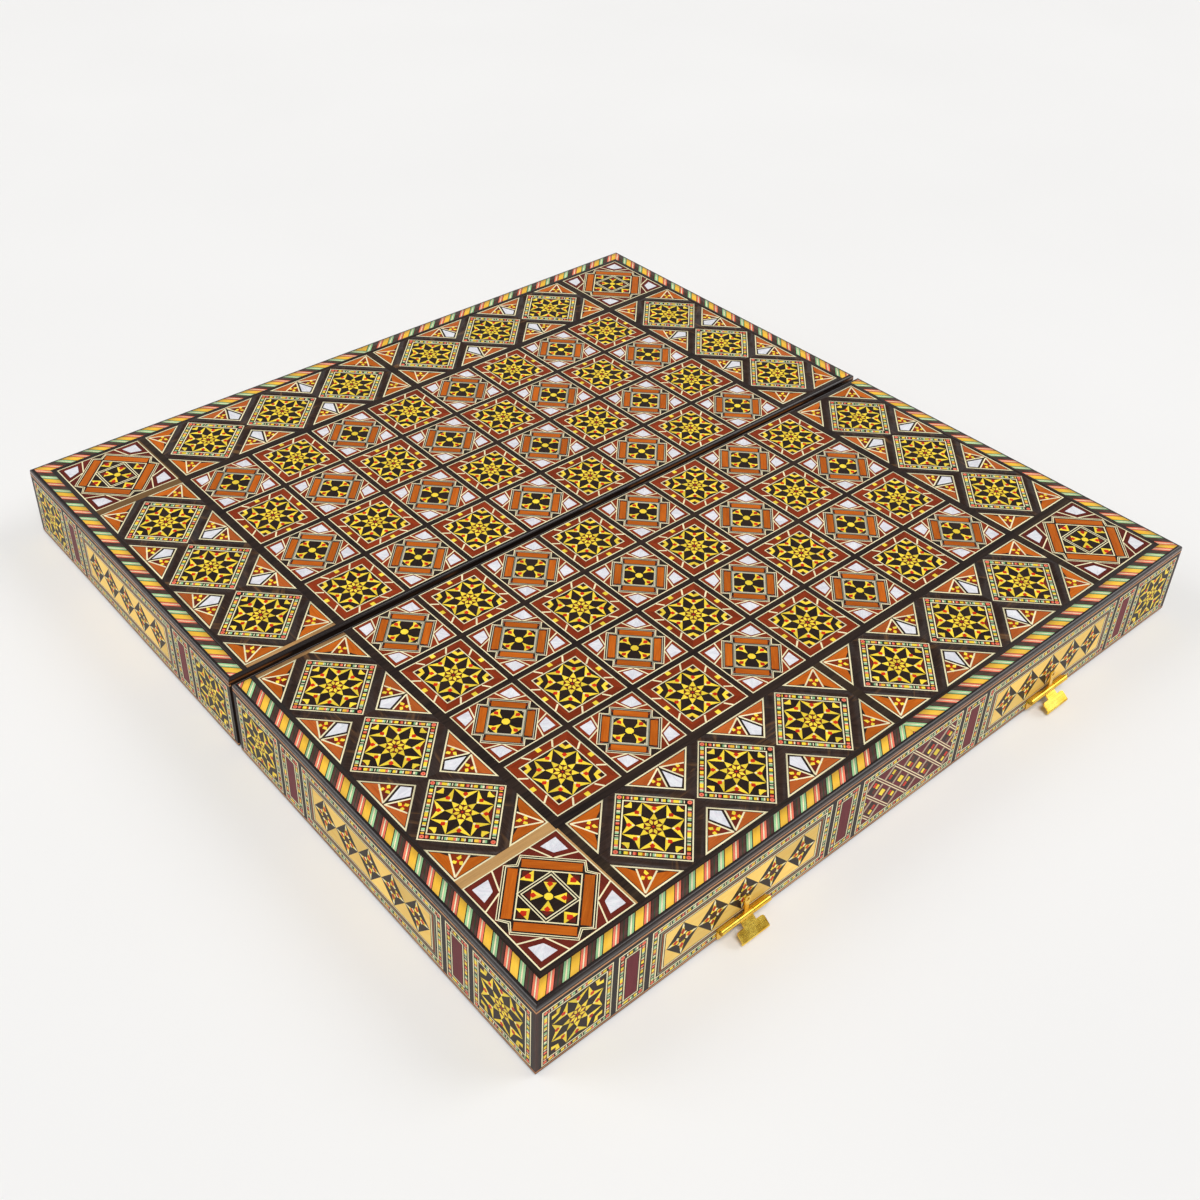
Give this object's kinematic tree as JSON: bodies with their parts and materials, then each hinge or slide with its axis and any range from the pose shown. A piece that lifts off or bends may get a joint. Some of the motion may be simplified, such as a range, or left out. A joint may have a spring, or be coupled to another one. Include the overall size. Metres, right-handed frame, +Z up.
{
  "type": "chess box with hinged lid",
  "caption": "Folding chess box made of shallow hinged trays whose mosaic marquetry faces open flat into a chessboard, with brass hinges and hook latches.",
  "frame": {"origin": "on the table plane, under the middle of the open box including its latches and catches", "axes": "+X along the hinge line, +Y from the latch side to the catch side, +Z up out of the playing surface"},
  "size_m": [0.4964, 0.5138, 0.049],
  "materials": {
    "case_wood": "oiled",
    "seam_wood": "lacquered",
    "board_wood": "plain",
    "lining_wood": "satin",
    "light_points": "satin",
    "dark_points": "satin",
    "bead_lacquer": "gloss lacquer",
    "striped_banding": "gloss lacquer",
    "black_ground": "gloss lacquer",
    "star_yellow": "gloss lacquer",
    "divider_wood": "gloss lacquer",
    "star_mosaic": "gloss lacquer",
    "pearl_mosaic": "gloss lacquer",
    "border_star_mosaic": "gloss lacquer",
    "triangle_mosaic": "gloss lacquer",
    "corner_mosaic": "gloss lacquer",
    "side_walnut": "gloss lacquer",
    "rail_line": "gloss lacquer",
    "side_star_mosaic": "gloss lacquer",
    "maroon_wood": "gloss lacquer",
    "side_yellow_mosaic": "gloss lacquer",
    "hinge_brass": "polished",
    "pin_brass": "polished",
    "fastener_brass": "polished",
    "latch_brass": "polished"
  },
  "bodies": {
    "near_half": {"near_front_wall": "case_wood", "near_seam_wall": "seam_wood", "near_left_wall": "case_wood", "near_right_wall": "case_wood", "near_board": "board_wood", "near_lining": "lining_wood", "near_points_light": "light_points", "near_points_dark": "dark_points", "near_edge_bead": "bead_lacquer", "near_banding": "striped_banding", "near_black_ground": "black_ground", "near_star_inlays": "star_yellow", "near_dividers": "divider_wood", "near_field_ground": "black_ground", "near_star_squares": "star_mosaic", "near_pearl_squares": "pearl_mosaic", "near_border_stars": "border_star_mosaic", "near_border_triangles": "triangle_mosaic", "near_corner_tiles": "corner_mosaic", "near_side_ground": "side_walnut", "near_side_lines": "rail_line", "near_side_stars": "side_star_mosaic", "near_side_bars": "maroon_wood", "near_side_mosaics": "side_yellow_mosaic", "hinge_near_leaves": "hinge_brass", "hinge_near_screws": "fastener_brass", "hinge_pins": "pin_brass", "latch_plates": "latch_brass", "latch_pins": "pin_brass", "latch_nails": "fastener_brass"},
    "far_half": {"far_back_wall": "case_wood", "far_seam_wall": "seam_wood", "far_left_wall": "case_wood", "far_right_wall": "case_wood", "far_board": "board_wood", "far_lining": "lining_wood", "far_points_light": "light_points", "far_points_dark": "dark_points", "far_edge_bead": "bead_lacquer", "far_banding": "striped_banding", "far_black_ground": "black_ground", "far_star_inlays": "star_yellow", "far_dividers": "divider_wood", "far_field_ground": "black_ground", "far_star_squares": "star_mosaic", "far_pearl_squares": "pearl_mosaic", "far_border_stars": "border_star_mosaic", "far_border_triangles": "triangle_mosaic", "far_corner_tiles": "corner_mosaic", "far_side_ground": "side_walnut", "far_side_lines": "rail_line", "far_side_stars": "side_star_mosaic", "far_side_bars": "maroon_wood", "far_side_mosaics": "side_yellow_mosaic", "hinge_far_leaves": "hinge_brass", "hinge_far_screws": "fastener_brass", "catch_plates": "latch_brass", "catch_nails": "fastener_brass"},
    "hook_left": {"latch_hook_left": "latch_brass"},
    "hook_right": {"latch_hook_right": "latch_brass"}
  },
  "joints": [
    {"name": "fold", "type": "hinge", "parent": "near_half", "child": "far_half", "pos_m": [0, 0.0048, 0.00135], "axis": [-1, 0, 0], "range_deg": [-1, 180]},
    {"name": "hook_left_swing", "type": "hinge", "parent": "near_half", "child": "hook_left", "pos_m": [-0.12218, -0.2482, 0.00945], "axis": [1, 0, 0], "range_deg": [-6, 52]},
    {"name": "hook_right_swing", "type": "hinge", "parent": "near_half", "child": "hook_right", "pos_m": [0.12218, -0.2482, 0.00945], "axis": [1, 0, 0], "range_deg": [-6, 52]}
  ]
}
